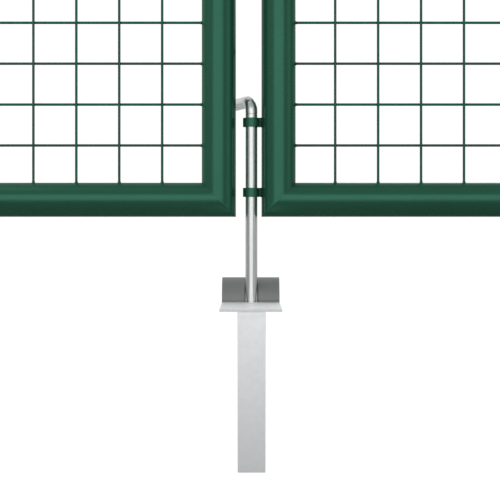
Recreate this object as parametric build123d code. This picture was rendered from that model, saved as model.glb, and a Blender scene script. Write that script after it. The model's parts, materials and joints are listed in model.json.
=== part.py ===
from build123d import *

import os
from math import cos, radians, sin, sqrt

# Double-leaf livestock gate of round steel tube and welded wire mesh, between two posts.
# X runs along the gate, Y through it (the leaves swing towards -Y), Z up. Millimetres.
# The origin is on the ground line, half way between the two leaves.

# ---- driving dimensions -------------------------------------------------------------

# leaves
LEAF_GAP = 30.0             # between the two meeting stiles
LEAF_WIDTH = 1425.0         # one leaf, outside to outside
LEAF_HEIGHT = 1225.0
LEAF_BOTTOM = 103.0         # underside of the bottom rail above the ground
TUBE_DIAMETER = 40.0
TUBE_WALL = 1.5

# mesh
WIRE_DIAMETER = 3.0
WIRE_LAP = 0.3              # how far crossing wires are welded into each other
WIRE_SINK = 0.5             # how far a wire end is welded into the tube
UPRIGHT_PITCH = 50.3
FIRST_UPRIGHT = 46.4        # from the meeting stile
CROSS_PITCH = 48.0
FIRST_CROSS = 43.8          # from the bottom rail
LEAST_END_MESH = 35.0       # smallest mesh opening left at the far side

# posts
POST_DIAMETER = 60.0
POST_WALL = 2.0
POST_TOP = 1385.0           # above the ground
POST_BURIED = 450.0
CAP_FLANGE = 4.0
CAP_DOME = 8.0
CAP_PLUG = 18.0
CAP_CLEARANCE = 0.2
ANCHOR_HOLE = 12.0          # cross hole for the ground anchor bar
ANCHOR_HEIGHT = 120.0       # above the foot of the post

# hinges
STILE_TO_AXIS = 20.0        # from the hinge stile's face to the hinge axis
POST_TO_AXIS = 30.0         # from the post's face to the hinge axis
HINGE_INSET = 170.0         # hook bolt from the bottom and top edges of the leaf
HOOK_DIAMETER = 12.0
HOOK_BEND = 12.0
HOOK_TAIL = 22.0            # shank standing out behind the post
HOOK_PIN_SPARE = 7.0        # pin past the eye
COLLAR_DIAMETER = 20.0
COLLAR_HEIGHT = 4.0
WASHER_DIAMETER = 23.0
WASHER_THICKNESS = 2.0
EYE_DIAMETER = 24.0
EYE_HEIGHT = 30.0
TONGUE_THICKNESS = 10.0
UPPER_EYE_SLACK = 2.0
NUT_ACROSS_FLATS = 19.0
NUT_THICKNESS = 10.0
SADDLE_SIDE = 26.0
SADDLE_THICKNESS = 4.0

# drop bolt and its guides
BOLT_DIAMETER = 14.0
BOLT_OFFSET = 11.8          # bolt axis from the right leaf's meeting face
BOLT_DEPTH = 20.0           # tip below the ground line when dropped
BOLT_TIP_CHAMFER = 2.0
HANDLE_HEIGHT = 238.5       # centre line of the handle when the bolt is dropped
HANDLE_BEND = 12.0
HANDLE_NECK = 3.0           # straight length between the turning joint and the bend
HANDLE_LENGTH = 90.0
HANDLE_BEARING = 111.0      # degrees from +X, seen from above
BOLT_LIFT = 80.0
GUIDE_WALL = 2.9
GUIDE_HEIGHT = 10.5
GUIDE_NECK_WIDTH = 12.0
LOWER_GUIDE = 28.6          # centre of each guide above the leaf's bottom edge
UPPER_GUIDE = 110.6
REST_DIAMETER = 8.0
REST_OFFSET = 12.0          # from the meeting face of the right leaf
REST_REACH = 35.0           # out of the back of the stile
REST_DROP = 4.5             # gap under the lifted handle
REST_HEAD_DIAMETER = 14.0
REST_HEAD_THICKNESS = 3.0

# ground stop
PLATE_THICKNESS = 3.0
PLATE_WIDTH = 67.4
PLATE_SIDESTEP = 0.8        # plate and keeper sit this far to the left of the bolt axis
PLATE_FRONT = 143.0         # in front of the bolt axis
PLATE_BACK = 57.0           # behind the bolt axis
KEEPER_DIAMETER = 57.0      # the keeper is half of a pipe of this size
KEEPER_WALL = 3.0
KEEPER_LIP = 7.0            # its front edge, in front of the bolt axis
SOCKET_CLEARANCE = 1.0      # round the bolt, in the keeper's slot and the plate's hole
STAKE_WIDTH = 30.0
STAKE_THICKNESS = 3.0
STAKE_LENGTH = 172.0

# lock
LOCK_BOX_DEPTH = 80.0       # along X
LOCK_BOX_HEIGHT = 180.0
LOCK_BOX_BOTTOM = 655.0
LOCK_BOX_WALL = 2.5
FOREND_WIDTH = 24.0
FOREND_HEIGHT = 160.0
FOREND_THICKNESS = 3.0
BACKSET = 45.0              # from the leaf's meeting face to the spindle
SPINDLE_HEIGHT = 100.0      # above the foot of the lock box
SPINDLE_SIDE = 8.0
SPINDLE_HALF_LENGTH = 42.0
FOLLOWER_DIAMETER = 20.0
FOLLOWER_WIDTH = 14.0
FOLLOWER_ARM = 20.0
FOLLOWER_ARM_WIDTH = 6.0
FOLLOWER_ARM_THICKNESS = 5.0
LATCH_RISE = 18.0           # latch centre line above the spindle
LATCH_WIDTH = 12.0
LATCH_HEIGHT = 26.0
LATCH_REACH = 14.0          # past the forend
LATCH_HEAD = 37.0
LATCH_TAIL_HEIGHT = 12.0
LATCH_TAIL_LENGTH = 32.0
LATCH_FORK_WALL = 3.0
SPRING_DIAMETER = 9.0
SPRING_WIRE = 1.2
SPRING_TURNS = 6
CYLINDER_DROP = 55.0        # lock cylinder below the spindle
CYLINDER_DIAMETER = 17.0
CYLINDER_LEG_WIDTH = 10.0
CYLINDER_HEIGHT = 33.0
CYLINDER_HALF_LENGTH = 30.0
PLUG_DIAMETER = 12.0
CAM_RADIUS = 13.0
CAM_WIDTH = 10.0
KEYWAY_WIDTH = 2.4
KEYWAY_HEIGHT = 8.0
KEYWAY_DEPTH = 24.0
DEADBOLT_WIDTH = 12.0
DEADBOLT_HEIGHT = 22.0
DEADBOLT_HEAD = 26.0
DEADBOLT_TAIL_LENGTH = 40.0
DEADBOLT_TAIL_HEIGHT = 11.0
DEADBOLT_SHY = 0.5          # short of the forend's face when drawn back
TAIL_OVER_CAM = 1.0         # gap between the cam's sweep and the deadbolt's tail
ESCUTCHEON_WIDTH = 38.0
ESCUTCHEON_HEIGHT = 170.0
ESCUTCHEON_THICKNESS = 4.0
ESCUTCHEON_EDGE = 1.2
LEVER_DIAMETER = 18.0
LEVER_STANDOFF = 58.0       # lever's centre line from the gate's mid plane
LEVER_LENGTH = 112.0
LEVER_RETURN = 16.0
LEVER_BEND = 14.0
SCREW_HEAD_DIAMETER = 8.0
SCREW_HEAD_HEIGHT = 2.4
SCREW_DIAMETER = 4.0
SCREW_LENGTH = 6.0
SCREW_SLOT = 1.0
SCREW_INSET = 7.0
STRIKE_REACH = 21.0         # out of the right leaf's meeting face
STRIKE_WALL = 3.0
STRIKE_END = 14.0           # beyond the slots, above and below
STRIKE_CLEARANCE = 1.0

RUNNING_CLEARANCE = 0.1     # radial, hinge pins, bolt guides and lever necks
SLIDING_CLEARANCE = 0.2     # each side of latch and deadbolt in the forend
FITTED_CLEARANCE = 0.05     # screws, nuts and other fixed pieces
TOUCH_CLEARANCE = 0.3       # between moving parts of the lock that push each other

# ---- places that follow from them ---------------------------------------------------

TUBE_RADIUS = TUBE_DIAMETER / 2
POST_RADIUS = POST_DIAMETER / 2
MEETING_FACE = LEAF_GAP / 2
MEETING_AXIS = MEETING_FACE + TUBE_RADIUS
HINGE_FACE = MEETING_FACE + LEAF_WIDTH
HINGE_STILE_AXIS = HINGE_FACE - TUBE_RADIUS
HINGE_AXIS = HINGE_FACE + STILE_TO_AXIS
POST_AXIS = HINGE_AXIS + POST_TO_AXIS + POST_RADIUS
LEAF_TOP = LEAF_BOTTOM + LEAF_HEIGHT
LOWER_HOOK = LEAF_BOTTOM + HINGE_INSET
UPPER_HOOK = LEAF_TOP - HINGE_INSET
COLLAR_TOP = HOOK_BEND + COLLAR_HEIGHT
EYE_START = COLLAR_TOP + WASHER_THICKNESS
BOLT_X = MEETING_FACE - BOLT_OFFSET
BOLT_JOINT = HANDLE_HEIGHT - HANDLE_BEND - HANDLE_NECK
PLATE_SIDES = (BOLT_X - PLATE_SIDESTEP - PLATE_WIDTH / 2, BOLT_X - PLATE_SIDESTEP + PLATE_WIDTH / 2)
WIRE_OFFSET = (WIRE_DIAMETER - WIRE_LAP) / 2
LOCK_BOX_TOP = LOCK_BOX_BOTTOM + LOCK_BOX_HEIGHT
LOCK_BOX_REAR = MEETING_FACE + LOCK_BOX_DEPTH
LOCK_MIDDLE = LOCK_BOX_BOTTOM + LOCK_BOX_HEIGHT / 2
SPINDLE_X = -MEETING_FACE - BACKSET
SPINDLE_Z = LOCK_BOX_BOTTOM + SPINDLE_HEIGHT
LATCH_Z = SPINDLE_Z + LATCH_RISE
CYLINDER_Z = SPINDLE_Z - CYLINDER_DROP
DEADBOLT_Z = CYLINDER_Z + CAM_RADIUS + TAIL_OVER_CAM + DEADBOLT_TAIL_HEIGHT / 2
FOREND_FACE = FOREND_THICKNESS - MEETING_FACE
LATCH_TIP = FOREND_FACE + LATCH_REACH
LATCH_HEAD_BACK = LATCH_TIP - LATCH_HEAD
LATCH_BACK = LATCH_HEAD_BACK - LATCH_TAIL_LENGTH
DEADBOLT_TIP = FOREND_FACE - DEADBOLT_SHY

SIDES = {"left": -1, "right": 1}


def save(node, shape):
    """Write one node."""
    export_step(shape, f"parts/{node}.step")


def group(pieces):
    """Several separate solids kept as one node."""
    return Compound(children=list(pieces))


def block(x, y, z):
    """A box from three (low, high) pairs."""
    size = (x[1] - x[0], y[1] - y[0], z[1] - z[0])
    middle = ((x[0] + x[1]) / 2, (y[0] + y[1]) / 2, (z[0] + z[1]) / 2)
    return Pos(*middle) * Box(*size)


def rod_x(diameter, x, y, z):
    """A round bar along X between the two values of x."""
    return Pos((x[0] + x[1]) / 2, y, z) * Rot(0, 90, 0) * Cylinder(diameter / 2, abs(x[1] - x[0]))


def rod_y(diameter, x, y, z):
    """A round bar along Y between the two values of y."""
    return Pos(x, (y[0] + y[1]) / 2, z) * Rot(90, 0, 0) * Cylinder(diameter / 2, abs(y[1] - y[0]))


def rod_z(diameter, x, y, z):
    """A round bar along Z between the two values of z."""
    return Pos(x, y, (z[0] + z[1]) / 2) * Cylinder(diameter / 2, abs(z[1] - z[0]))


def bent_rod(diameter, corners, bend):
    """A round bar along straight runs joined by arcs of one radius."""
    path = FilletPolyline(*corners, radius=bend)
    return sweep(Plane(origin=path @ 0, z_dir=path % 0) * Circle(diameter / 2), path=path)


# ---- leaves -------------------------------------------------------------------------


def trapezium(corners):
    """A prism through the gate whose outline in X and Z has the given corners."""
    outline = Plane.XZ * Polygon(*corners, align=None)
    return extrude(outline, amount=TUBE_DIAMETER, both=True)


def frame_tube(axis, centre, ends, corners):
    """One tube of a leaf's frame, with its ends cut to the mitres."""
    bar = rod_x if axis == "x" else rod_z
    place = (ends, 0, centre) if axis == "x" else (centre, 0, ends)
    tube = bar(TUBE_DIAMETER, *place) - bar(TUBE_DIAMETER - 2 * TUBE_WALL, *place)
    return tube & trapezium(corners)


def leaf_frame(side):
    """The four mitred tubes of a leaf: bottom rail, top rail, meeting stile, hinge stile."""
    near = side * MEETING_FACE
    far = side * HINGE_FACE
    near_in = side * (MEETING_FACE + TUBE_DIAMETER)
    far_in = side * (HINGE_FACE - TUBE_DIAMETER)
    low = LEAF_BOTTOM
    high = LEAF_TOP
    low_in = LEAF_BOTTOM + TUBE_DIAMETER
    high_in = LEAF_TOP - TUBE_DIAMETER
    across = (near, far)
    upright = (low, high)
    bottom_outline = [(near, low), (far, low), (far_in, low_in), (near_in, low_in)]
    top_outline = [(near, high), (far, high), (far_in, high_in), (near_in, high_in)]
    meeting_outline = [(near, low), (near, high), (near_in, high_in), (near_in, low_in)]
    hinge_outline = [(far, low), (far, high), (far_in, high_in), (far_in, low_in)]
    return {
        "bottom_rail": frame_tube("x", low + TUBE_RADIUS, across, bottom_outline),
        "top_rail": frame_tube("x", high - TUBE_RADIUS, across, top_outline),
        "meeting_stile": frame_tube("z", side * MEETING_AXIS, upright, meeting_outline),
        "hinge_stile": frame_tube("z", side * HINGE_STILE_AXIS, upright, hinge_outline),
    }


def wire_seat():
    """How far from a tube's axis a welded wire ends."""
    return sqrt(TUBE_RADIUS**2 - WIRE_OFFSET**2) - WIRE_SINK


def pattern(first, pitch, opening):
    """Distances of the mesh wires across an opening, the last one clear of its far side."""
    count = int((opening - first - LEAST_END_MESH) / pitch) + 1
    return [first + pitch * i for i in range(count)]


def mesh_uprights(side):
    """The upright wires, on the viewer's side of the cross wires."""
    foot = LEAF_BOTTOM + TUBE_RADIUS + wire_seat()
    head = LEAF_TOP - TUBE_RADIUS - wire_seat()
    start = MEETING_FACE + TUBE_DIAMETER
    places = pattern(FIRST_UPRIGHT, UPRIGHT_PITCH, LEAF_WIDTH - 2 * TUBE_DIAMETER)
    return group(rod_z(WIRE_DIAMETER, side * (start + u), -WIRE_OFFSET, (foot, head)) for u in places)


def cross_wire(side, height):
    """One cross wire. Beside the lock box it ends on the box instead of the stile."""
    near = MEETING_AXIS + wire_seat()
    far = HINGE_STILE_AXIS - wire_seat()
    if side == SIDES["left"] and LOCK_BOX_BOTTOM - WIRE_DIAMETER < height < LOCK_BOX_TOP + WIRE_DIAMETER:
        near = LOCK_BOX_REAR - WIRE_SINK
    return rod_x(WIRE_DIAMETER, (side * near, side * far), WIRE_OFFSET, height)


def mesh_cross_wires(side):
    """The cross wires, behind the uprights."""
    start = LEAF_BOTTOM + TUBE_DIAMETER
    places = pattern(FIRST_CROSS, CROSS_PITCH, LEAF_HEIGHT - 2 * TUBE_DIAMETER)
    return group(cross_wire(side, start + v) for v in places)


def hinge_eye(side, low):
    """A hinge eye: a short tube on the hinge axis with a tongue welded to the stile."""
    span = (low, low + EYE_HEIGHT)
    ring = rod_z(EYE_DIAMETER, side * HINGE_AXIS, 0, span)
    across = sorted((side * HINGE_STILE_AXIS, side * HINGE_AXIS))
    tongue = block(across, (-TONGUE_THICKNESS / 2, TONGUE_THICKNESS / 2), span)
    bore = rod_z(HOOK_DIAMETER + 2 * RUNNING_CLEARANCE, side * HINGE_AXIS, 0, span)
    stile = rod_z(TUBE_DIAMETER, side * HINGE_STILE_AXIS, 0, span)
    return ring + tongue - bore - stile


def hinge_eyes(side):
    """The lower eye stands on its washer; the upper one hangs below its own with some slack."""
    lower = LOWER_HOOK + EYE_START
    upper = UPPER_HOOK - EYE_START - UPPER_EYE_SLACK - EYE_HEIGHT
    return group([hinge_eye(side, lower), hinge_eye(side, upper)])


# ---- posts and hooks ----------------------------------------------------------------


def post(side):
    """A round post with holes for its hook bolts and for the anchor bar."""
    span = (-POST_BURIED, POST_TOP)
    tube = rod_z(POST_DIAMETER, side * POST_AXIS, 0, span)
    tube -= rod_z(POST_DIAMETER - 2 * POST_WALL, side * POST_AXIS, 0, span)
    through = (side * POST_AXIS - POST_DIAMETER, side * POST_AXIS + POST_DIAMETER)
    for height in (LOWER_HOOK, UPPER_HOOK):
        tube -= rod_x(HOOK_DIAMETER + 2 * FITTED_CLEARANCE, through, 0, height)
    foot_hole = -POST_BURIED + ANCHOR_HEIGHT
    tube -= rod_y(ANCHOR_HOLE, side * POST_AXIS, (-POST_DIAMETER, POST_DIAMETER), foot_hole)
    return tube


def post_cap(side):
    """A domed plastic cap plugged into the post."""
    dome_radius = (POST_RADIUS**2 + CAP_DOME**2) / (2 * CAP_DOME)
    brim = POST_TOP + CAP_FLANGE
    x = side * POST_AXIS
    dome = Pos(x, 0, brim + CAP_DOME - dome_radius) * Sphere(dome_radius)
    dome &= rod_z(POST_DIAMETER, x, 0, (POST_TOP, brim + CAP_DOME))
    plug = rod_z(POST_DIAMETER - 2 * (POST_WALL + CAP_CLEARANCE), x, 0, (POST_TOP - CAP_PLUG, POST_TOP))
    hollow = rod_z(POST_DIAMETER - 4 * POST_WALL, x, 0, (POST_TOP - CAP_PLUG, POST_TOP))
    return dome + (plug - hollow)


def hook_bolt(side, height, way):
    """A hook bolt: a shank through the post, bent to a hinge pin that points up or down."""
    tail = side * (POST_AXIS + POST_RADIUS + SADDLE_THICKNESS + HOOK_TAIL)
    pin = side * HINGE_AXIS
    tip = height + way * (EYE_START + UPPER_EYE_SLACK + EYE_HEIGHT + HOOK_PIN_SPARE)
    hook = bent_rod(HOOK_DIAMETER, [(tail, 0, height), (pin, 0, height), (pin, 0, tip)], HOOK_BEND)
    span = sorted((height + way * HOOK_BEND, height + way * COLLAR_TOP))
    return hook + rod_z(COLLAR_DIAMETER, pin, 0, span)


def thrust_washer(side, height, way):
    """A nylon washer on the pin, against the hook's collar."""
    span = sorted((height + way * COLLAR_TOP, height + way * EYE_START))
    disc = rod_z(WASHER_DIAMETER, side * HINGE_AXIS, 0, span)
    return disc - rod_z(HOOK_DIAMETER + 2 * FITTED_CLEARANCE, side * HINGE_AXIS, 0, span)


def saddle(side, height, way):
    """A square washer with one face curved to the post; way +1 is behind the post."""
    centre = side * POST_AXIS
    out = side * way
    along = sorted((centre + out * POST_RADIUS / 2, centre + out * (POST_RADIUS + SADDLE_THICKNESS)))
    half = SADDLE_SIDE / 2
    piece = block(along, (-half, half), (height - half, height + half))
    piece -= rod_z(POST_DIAMETER, centre, 0, (height - SADDLE_SIDE, height + SADDLE_SIDE))
    return piece - rod_x(HOOK_DIAMETER + 2 * FITTED_CLEARANCE, along, 0, height)


def hook_nut(side, height, way):
    """A hexagon nut on the hook's shank, against a saddle."""
    start = side * POST_AXIS + side * way * (POST_RADIUS + SADDLE_THICKNESS)
    end = start + side * way * NUT_THICKNESS
    outline = RegularPolygon(NUT_ACROSS_FLATS / 2, 6, major_radius=False)
    prism = extrude(outline, amount=NUT_THICKNESS / 2, both=True)
    nut = Pos((start + end) / 2, 0, height) * Rot(0, 90, 0) * prism
    corners = rod_x(NUT_ACROSS_FLATS * 1.1, (start, end), 0, height)
    return (nut & corners) - rod_x(HOOK_DIAMETER + 2 * FITTED_CLEARANCE, (start, end), 0, height)


# ---- drop bolt ----------------------------------------------------------------------


def bolt_guide(height):
    """A guide ring round the bolt, its neck welded to the right leaf's meeting stile."""
    span = (height - GUIDE_HEIGHT / 2, height + GUIDE_HEIGHT / 2)
    bore_diameter = BOLT_DIAMETER + 2 * RUNNING_CLEARANCE
    ring = rod_z(bore_diameter + 2 * GUIDE_WALL, BOLT_X, 0, span)
    half = GUIDE_NECK_WIDTH / 2
    neck = block((BOLT_X, MEETING_AXIS), (-half, half), span)
    stile = rod_z(TUBE_DIAMETER, MEETING_AXIS, 0, span)
    return ring + neck - rod_z(bore_diameter, BOLT_X, 0, span) - stile


def drop_rod():
    """The straight rod of the drop bolt, its tip chamfered to find the hole."""
    rod = rod_z(BOLT_DIAMETER, BOLT_X, 0, (-BOLT_DEPTH, BOLT_JOINT))
    return chamfer(rod.edges().sort_by(Axis.Z)[0], BOLT_TIP_CHAMFER)


def drop_handle():
    """The bent handle of the drop bolt, level when finished."""
    reach_x = BOLT_X + HANDLE_LENGTH * cos(radians(HANDLE_BEARING))
    reach_y = HANDLE_LENGTH * sin(radians(HANDLE_BEARING))
    corners = [(BOLT_X, 0, BOLT_JOINT), (BOLT_X, 0, HANDLE_HEIGHT), (reach_x, reach_y, HANDLE_HEIGHT)]
    return bent_rod(BOLT_DIAMETER, corners, HANDLE_BEND)


def handle_rest():
    """A headed peg on the back of the right stile that carries the lifted handle."""
    top = HANDLE_HEIGHT + BOLT_LIFT - BOLT_DIAMETER / 2 - REST_DROP
    height = top - REST_DIAMETER / 2
    x = MEETING_FACE + REST_OFFSET
    end = TUBE_RADIUS + REST_REACH
    peg = rod_y(REST_DIAMETER, x, (0, end), height)
    peg += rod_y(REST_HEAD_DIAMETER, x, (end - REST_HEAD_THICKNESS, end), height)
    return peg - rod_z(TUBE_DIAMETER, MEETING_AXIS, 0, (height - TUBE_DIAMETER, height + TUBE_DIAMETER))


# ---- ground stop --------------------------------------------------------------------


def ground_plate():
    """The plate on the ground with the hole that the bolt drops into."""
    plate = block(PLATE_SIDES, (-PLATE_FRONT, PLATE_BACK), (0, PLATE_THICKNESS))
    hole = BOLT_DIAMETER + 2 * SOCKET_CLEARANCE
    return plate - rod_z(hole, BOLT_X, 0, (0, PLATE_THICKNESS))


def half_pipe(diameter):
    """A solid half cylinder along X that lies flat on the plate."""
    radius = diameter / 2
    axis_y = KEEPER_DIAMETER / 2 - KEEPER_LIP
    depth = (axis_y - radius, axis_y + radius)
    upper_half = block(PLATE_SIDES, depth, (PLATE_THICKNESS, PLATE_THICKNESS + radius))
    return rod_x(diameter, PLATE_SIDES, axis_y, PLATE_THICKNESS) & upper_half


def keeper():
    """Half a pipe welded on the plate, slotted in front so that the bolt swings in and stops."""
    shell = half_pipe(KEEPER_DIAMETER) - half_pipe(KEEPER_DIAMETER - 2 * KEEPER_WALL)
    slot_width = BOLT_DIAMETER + 2 * SOCKET_CLEARANCE
    half = slot_width / 2
    span = (PLATE_THICKNESS, PLATE_THICKNESS + KEEPER_DIAMETER / 2)
    shell -= block((BOLT_X - half, BOLT_X + half), (-KEEPER_DIAMETER, 0), span)
    return shell - rod_z(slot_width, BOLT_X, 0, span)


def stake(front):
    """A flat stake welded under the plate, its front face at the given Y."""
    half = STAKE_WIDTH / 2
    return block((BOLT_X - half, BOLT_X + half), (front, front + STAKE_THICKNESS), (-STAKE_LENGTH, 0))


# ---- lock ---------------------------------------------------------------------------


def euro_profile(y, clearance):
    """The keyhole-shaped outline of the lock cylinder, as a bar along Y."""
    diameter = CYLINDER_DIAMETER + 2 * clearance
    half = CYLINDER_LEG_WIDTH / 2 + clearance
    foot = CYLINDER_Z + CYLINDER_DIAMETER / 2 - CYLINDER_HEIGHT - clearance
    leg = block((SPINDLE_X - half, SPINDLE_X + half), y, (foot, CYLINDER_Z))
    return rod_y(diameter, SPINDLE_X, y, CYLINDER_Z) + leg


def bolt_window(height, centre, clearance, x):
    """A square-cornered window along X for the latch or the deadbolt."""
    half_width = LATCH_WIDTH / 2 + clearance
    half_height = height / 2 + clearance
    return block(x, (-half_width, half_width), (centre - half_height, centre + half_height))


def lock_box():
    """The welded box that takes the place of a stretch of the left meeting stile."""
    x = (-LOCK_BOX_REAR, -MEETING_FACE)
    y = (-TUBE_RADIUS, TUBE_RADIUS)
    z = (LOCK_BOX_BOTTOM, LOCK_BOX_TOP)
    wall = LOCK_BOX_WALL
    box = block(x, y, z)
    box -= block((x[0] + wall, x[1] - wall), (y[0] + wall, y[1] - wall), (z[0] + wall, z[1] - wall))
    through = (-TUBE_DIAMETER, TUBE_DIAMETER)
    box -= rod_y(FOLLOWER_DIAMETER + 2 * SLIDING_CLEARANCE, SPINDLE_X, through, SPINDLE_Z)
    box -= euro_profile(through, SLIDING_CLEARANCE)
    half_opening = FOLLOWER_WIDTH / 2 + SLIDING_CLEARANCE
    half_height = FOREND_HEIGHT / 2 - 2 * SCREW_INSET
    opening = (LOCK_MIDDLE - half_height, LOCK_MIDDLE + half_height)
    box -= block((x[1] - 2 * wall, x[1] + wall), (-half_opening, half_opening), opening)
    for height in forend_screw_heights():
        box -= rod_x(SCREW_DIAMETER + 2 * FITTED_CLEARANCE, (x[1] - 2 * wall, x[1]), 0, height)
    for height in escutcheon_screw_heights():
        box -= rod_y(SCREW_DIAMETER + 2 * FITTED_CLEARANCE, SPINDLE_X, through, height)
    return box


def forend_screw_heights():
    """The two screws of the forend plate."""
    reach = FOREND_HEIGHT / 2 - SCREW_INSET
    return (LOCK_MIDDLE - reach, LOCK_MIDDLE + reach)


def escutcheon_screw_heights():
    """The two screws of each escutcheon."""
    reach = ESCUTCHEON_HEIGHT / 2 - SCREW_INSET
    return (LOCK_MIDDLE - reach, LOCK_MIDDLE + reach)


def forend():
    """The steel plate on the lock's edge, with windows for latch and deadbolt."""
    x = (-MEETING_FACE, FOREND_FACE)
    half_height = FOREND_HEIGHT / 2
    half_width = FOREND_WIDTH / 2
    plate = block(x, (-half_width, half_width), (LOCK_MIDDLE - half_height, LOCK_MIDDLE + half_height))
    plate -= bolt_window(LATCH_HEIGHT, LATCH_Z, SLIDING_CLEARANCE, x)
    plate -= bolt_window(DEADBOLT_HEIGHT, DEADBOLT_Z, SLIDING_CLEARANCE, x)
    for height in forend_screw_heights():
        plate -= rod_x(SCREW_DIAMETER + 2 * FITTED_CLEARANCE, x, 0, height)
    return plate


def slotted_screw():
    """A pan-head screw along Z, its head standing on the plane z = 0."""
    head = Pos(0, 0, SCREW_HEAD_HEIGHT / 2) * Cylinder(SCREW_HEAD_DIAMETER / 2, SCREW_HEAD_HEIGHT)
    head = fillet(head.edges().sort_by(Axis.Z)[-1], SCREW_HEAD_HEIGHT / 2)
    slot = Pos(0, 0, SCREW_HEAD_HEIGHT) * Box(SCREW_HEAD_DIAMETER, SCREW_SLOT, SCREW_HEAD_HEIGHT / 2)
    return head - slot + Pos(0, 0, -SCREW_LENGTH / 2) * Cylinder(SCREW_DIAMETER / 2, SCREW_LENGTH)


def forend_screws():
    """The screws that hold the forend plate."""
    return group(Pos(FOREND_FACE, 0, z) * Rot(0, 90, 0) * slotted_screw() for z in forend_screw_heights())


def escutcheon(way):
    """A long cover plate under a lever; way -1 is the viewer's side."""
    y = sorted((way * TUBE_RADIUS, way * (TUBE_RADIUS + ESCUTCHEON_THICKNESS)))
    half_width = ESCUTCHEON_WIDTH / 2
    half_height = ESCUTCHEON_HEIGHT / 2
    x = (SPINDLE_X - half_width, SPINDLE_X + half_width)
    plate = block(x, y, (LOCK_MIDDLE - half_height, LOCK_MIDDLE + half_height))
    plate = fillet(plate.edges().filter_by(Axis.Y), half_width - ESCUTCHEON_EDGE)
    outer = plate.faces().sort_by(Axis.Y)[0 if way < 0 else -1]
    plate = chamfer(outer.edges(), ESCUTCHEON_EDGE)
    plate -= rod_y(LEVER_DIAMETER + 2 * RUNNING_CLEARANCE, SPINDLE_X, y, SPINDLE_Z)
    plate -= euro_profile(y, SLIDING_CLEARANCE)
    for height in escutcheon_screw_heights():
        plate -= rod_y(SCREW_DIAMETER + 2 * FITTED_CLEARANCE, SPINDLE_X, y, height)
    return plate


def escutcheon_screws(way):
    """The screws of one escutcheon."""
    face = way * (TUBE_RADIUS + ESCUTCHEON_THICKNESS)
    turn = Rot(-90 * way, 0, 0)
    return group(Pos(SPINDLE_X, face, z) * turn * slotted_screw() for z in escutcheon_screw_heights())


def lever(way):
    """A round lever whose end returns to the gate; it takes the square spindle."""
    neck = way * (TUBE_RADIUS + TOUCH_CLEARANCE)
    out = way * LEVER_STANDOFF
    far = SPINDLE_X - LEVER_LENGTH
    back = way * (LEVER_STANDOFF - LEVER_RETURN)
    corners = [(SPINDLE_X, neck, SPINDLE_Z), (SPINDLE_X, out, SPINDLE_Z), (far, out, SPINDLE_Z)]
    arm = bent_rod(LEVER_DIAMETER, corners + [(far, back, SPINDLE_Z)], LEVER_BEND)
    half = SPINDLE_SIDE / 2 + FITTED_CLEARANCE
    depth = sorted((0, way * (SPINDLE_HALF_LENGTH + TOUCH_CLEARANCE)))
    return arm - block((SPINDLE_X - half, SPINDLE_X + half), depth, (SPINDLE_Z - half, SPINDLE_Z + half))


def spindle():
    """The square bar that joins both levers through the follower."""
    half = SPINDLE_SIDE / 2
    y = (-SPINDLE_HALF_LENGTH, SPINDLE_HALF_LENGTH)
    return block((SPINDLE_X - half, SPINDLE_X + half), y, (SPINDLE_Z - half, SPINDLE_Z + half))


def follower():
    """The hub on the spindle whose arm draws the latch back."""
    hub = rod_y(FOLLOWER_DIAMETER, SPINDLE_X, (-FOLLOWER_WIDTH / 2, FOLLOWER_WIDTH / 2), SPINDLE_Z)
    half_arm = FOLLOWER_ARM_WIDTH / 2
    half_thickness = FOLLOWER_ARM_THICKNESS / 2
    x = (SPINDLE_X - half_arm, SPINDLE_X + half_arm)
    hub += block(x, (-half_thickness, half_thickness), (SPINDLE_Z, SPINDLE_Z + FOLLOWER_ARM))
    half = SPINDLE_SIDE / 2 + FITTED_CLEARANCE
    hole = block((SPINDLE_X - half, SPINDLE_X + half), (-FOLLOWER_WIDTH, FOLLOWER_WIDTH),
                 (SPINDLE_Z - half, SPINDLE_Z + half))
    return hub - hole


def latch_bolt():
    """The bevelled latch and its forked tail, whose end stop the follower's arm pushes."""
    half_width = LATCH_WIDTH / 2
    head = bolt_window(LATCH_HEIGHT, LATCH_Z, 0, (LATCH_HEAD_BACK, LATCH_TIP))
    bevel = Polygon((LATCH_TIP - LATCH_REACH, half_width), (LATCH_TIP, -half_width / 2),
                    (LATCH_TIP, half_width), align=None)
    head -= extrude(Pos(0, 0, LATCH_Z) * bevel, amount=LATCH_HEIGHT, both=True)
    half_tail = LATCH_TAIL_HEIGHT / 2
    height = (LATCH_Z - half_tail, LATCH_Z + half_tail)
    tail = block((LATCH_BACK, LATCH_HEAD_BACK), (-half_width, half_width), height)
    half_window = half_width - LATCH_FORK_WALL
    stop_face = SPINDLE_X - FOLLOWER_ARM_WIDTH / 2 - TOUCH_CLEARANCE
    tail -= block((stop_face, LATCH_HEAD_BACK), (-half_window, half_window), height)
    return head + tail


def latch_spring():
    """The spring that pushes the latch out, between its tail and the back of the lock box."""
    start = -LOCK_BOX_REAR + LOCK_BOX_WALL + SPRING_WIRE / 2 + FITTED_CLEARANCE
    length = LATCH_BACK - SPRING_WIRE / 2 - FITTED_CLEARANCE - start
    radius = (SPRING_DIAMETER - SPRING_WIRE) / 2
    path = Helix(pitch=length / SPRING_TURNS, height=length, radius=radius)
    section = Plane(origin=path @ 0, z_dir=path % 0) * Circle(SPRING_WIRE / 2)
    return Pos(start, 0, LATCH_Z) * Rot(0, 90, 0) * sweep(section, path=path, is_frenet=True)


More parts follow.
